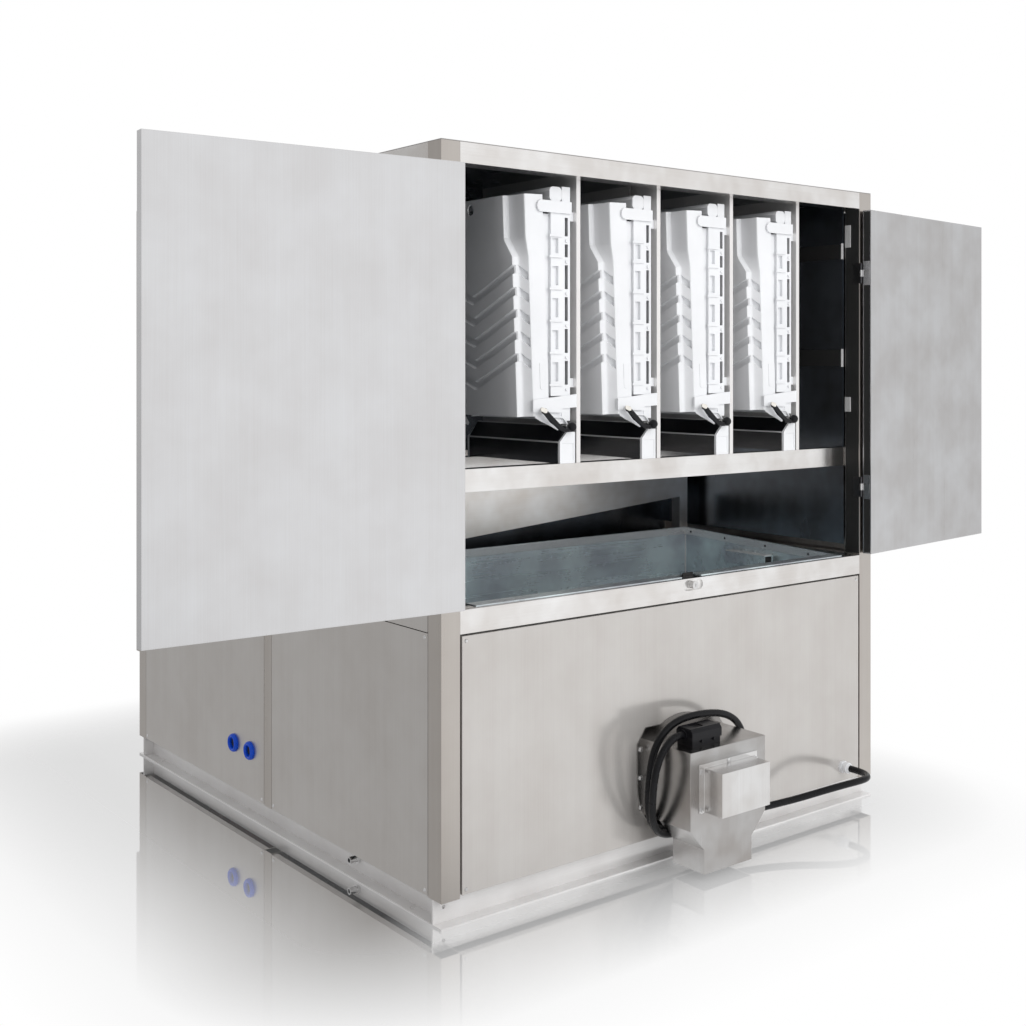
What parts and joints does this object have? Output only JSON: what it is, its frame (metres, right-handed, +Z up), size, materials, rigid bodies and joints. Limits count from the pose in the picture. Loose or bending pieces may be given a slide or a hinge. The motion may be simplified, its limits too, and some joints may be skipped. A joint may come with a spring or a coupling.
{
  "type": "cube ice machine",
  "caption": "Free-standing cube ice machine with folded-back doors, ribbed water curtains, ice bin, screw conveyor and a front ice spout.",
  "frame": {"origin": "centre of the cabinet's footprint, on the floor, at the underside of the base's crossing members", "axes": "+X to the right seen from the front, +Y from the front to the back, +Z up"},
  "size_m": [3.0832, 2.126, 1.9],
  "materials": {
    "base_steel": "silver, brushed",
    "sheet_steel": "satin sheet",
    "post_steel": "brushed, warm tone",
    "rail_steel": "brushed, bright",
    "front_steel": "brushed along its length",
    "side_steel": "brushed, warm grey",
    "liner_steel": "dull, in shadow",
    "dark_steel": "dull stainless",
    "hopper_steel": "satin, cool tone",
    "spout_steel": "brushed",
    "bright_steel": "bright stainless",
    "bright_screw": "bright",
    "door_steel": "smooth satin",
    "door_inner": "smooth, light grey",
    "black_steel": "black, satin",
    "black_paint": "black gloss paint",
    "brown_paint": "red-brown paint",
    "motor_paint": "blue-grey paint",
    "copper": "copper tube",
    "evaporator_metal": "bright plated",
    "white_plastic": "moulded, smooth",
    "black_plastic": "moulded, dark",
    "blue_plastic": "moulded, blue",
    "cable_rubber": "black sheath",
    "gasket_rubber": "black"
  },
  "bodies": {
    "cabinet": {"base_frame": "base_steel", "floor_pan": "sheet_steel", "posts": "post_steel", "top_rails": "rail_steel", "middle_rails": "rail_steel", "low_rails": "rail_steel", "roof_panel": "sheet_steel", "front_panel": "front_steel", "left_panels": "side_steel", "right_panels": "side_steel", "back_panel": "sheet_steel", "rear_cover": "side_steel", "panel_screws": "bright_screw", "inner_liners": "liner_steel", "bulkhead": "liner_steel", "dividers": "white_plastic", "module_frames": "white_plastic", "evaporators": "evaporator_metal", "evaporator_tubes": "copper", "distributors": "white_plastic", "water_troughs": "dark_steel", "trough_caps": "white_plastic", "ice_slides": "black_plastic", "ice_hopper": "hopper_steel", "rear_deflector": "rail_steel", "auger_bearings": "dark_steel", "gear_motor": "motor_paint", "spout_flange": "dark_steel", "spout_box": "spout_steel", "spout_cover": "spout_steel", "spout_bolts": "bright_screw", "cable_gland": "white_plastic", "power_cable": "cable_rubber", "cable_connector": "black_plastic", "water_fittings": "blue_plastic", "drain_nipple": "bright_steel", "frame_hinges": "bright_steel", "lock_barrel": "bright_screw", "compressor": "black_paint", "condenser": "brown_paint", "refrigerant_pipes": "copper"},
    "left_door": {"left_door_skin": "door_steel", "left_door_liner": "door_inner", "left_door_gasket": "gasket_rubber", "left_door_hinges": "bright_steel"},
    "right_door": {"right_door_skin": "door_steel", "right_door_liner": "door_inner", "right_door_gasket": "gasket_rubber", "right_door_hinges": "bright_steel"},
    "curtain_a": {"curtain_1": "white_plastic"},
    "curtain_b": {"curtain_2": "white_plastic"},
    "curtain_c": {"curtain_3": "white_plastic"},
    "curtain_d": {"curtain_4": "white_plastic"},
    "lever_a": {"lever_1": "black_plastic"},
    "lever_b": {"lever_2": "black_plastic"},
    "lever_c": {"lever_3": "black_plastic"},
    "lever_d": {"lever_4": "black_plastic"},
    "lock": {"lock_cam": "black_steel"},
    "auger": {"auger_shaft": "bright_steel", "auger_flight": "bright_steel"}
  },
  "joints": [
    {"name": "left_door_hinge", "type": "hinge", "parent": "cabinet", "child": "left_door", "pos_m": [-0.772, -0.926, 1.3], "axis": [0, 0, 1], "range_deg": [0, 183.45]},
    {"name": "right_door_hinge", "type": "hinge", "parent": "cabinet", "child": "right_door", "pos_m": [0.772, -0.926, 1.3], "axis": [0, 0, 1], "range_deg": [-186.6, 0]},
    {"name": "curtain_a_hinge", "type": "hinge", "parent": "cabinet", "child": "curtain_a", "pos_m": [-0.469, -0.6585, 1.771], "axis": [0, 1, 0], "range_deg": [0, 9]},
    {"name": "curtain_b_hinge", "type": "hinge", "parent": "cabinet", "child": "curtain_b", "pos_m": [-0.174, -0.6585, 1.771], "axis": [0, 1, 0], "range_deg": [0, 9]},
    {"name": "curtain_c_hinge", "type": "hinge", "parent": "cabinet", "child": "curtain_c", "pos_m": [0.121, -0.6585, 1.771], "axis": [0, 1, 0], "range_deg": [0, 9]},
    {"name": "curtain_d_hinge", "type": "hinge", "parent": "cabinet", "child": "curtain_d", "pos_m": [0.416, -0.6585, 1.771], "axis": [0, 1, 0], "range_deg": [0, 9]},
    {"name": "lever_a_pivot", "type": "hinge", "parent": "cabinet", "child": "lever_a", "pos_m": [-0.472, -0.8808, 1.238], "axis": [0, -1, 0], "range_deg": [0, 50]},
    {"name": "lever_b_pivot", "type": "hinge", "parent": "cabinet", "child": "lever_b", "pos_m": [-0.177, -0.8808, 1.238], "axis": [0, -1, 0], "range_deg": [0, 50]},
    {"name": "lever_c_pivot", "type": "hinge", "parent": "cabinet", "child": "lever_c", "pos_m": [0.118, -0.8808, 1.238], "axis": [0, -1, 0], "range_deg": [0, 50]},
    {"name": "lever_d_pivot", "type": "hinge", "parent": "cabinet", "child": "lever_d", "pos_m": [0.413, -0.8808, 1.238], "axis": [0, -1, 0], "range_deg": [0, 50]},
    {"name": "lock_turn", "type": "hinge", "parent": "cabinet", "child": "lock", "pos_m": [0.031, -0.8775, 0.744], "axis": [0, 1, 0], "range_deg": [0, 90]},
    {"name": "auger_turn", "type": "hinge", "parent": "cabinet", "child": "auger", "pos_m": [-0.018, -0.6225, 0.244], "axis": [0, 1, 0], "continuous": true}
  ]
}
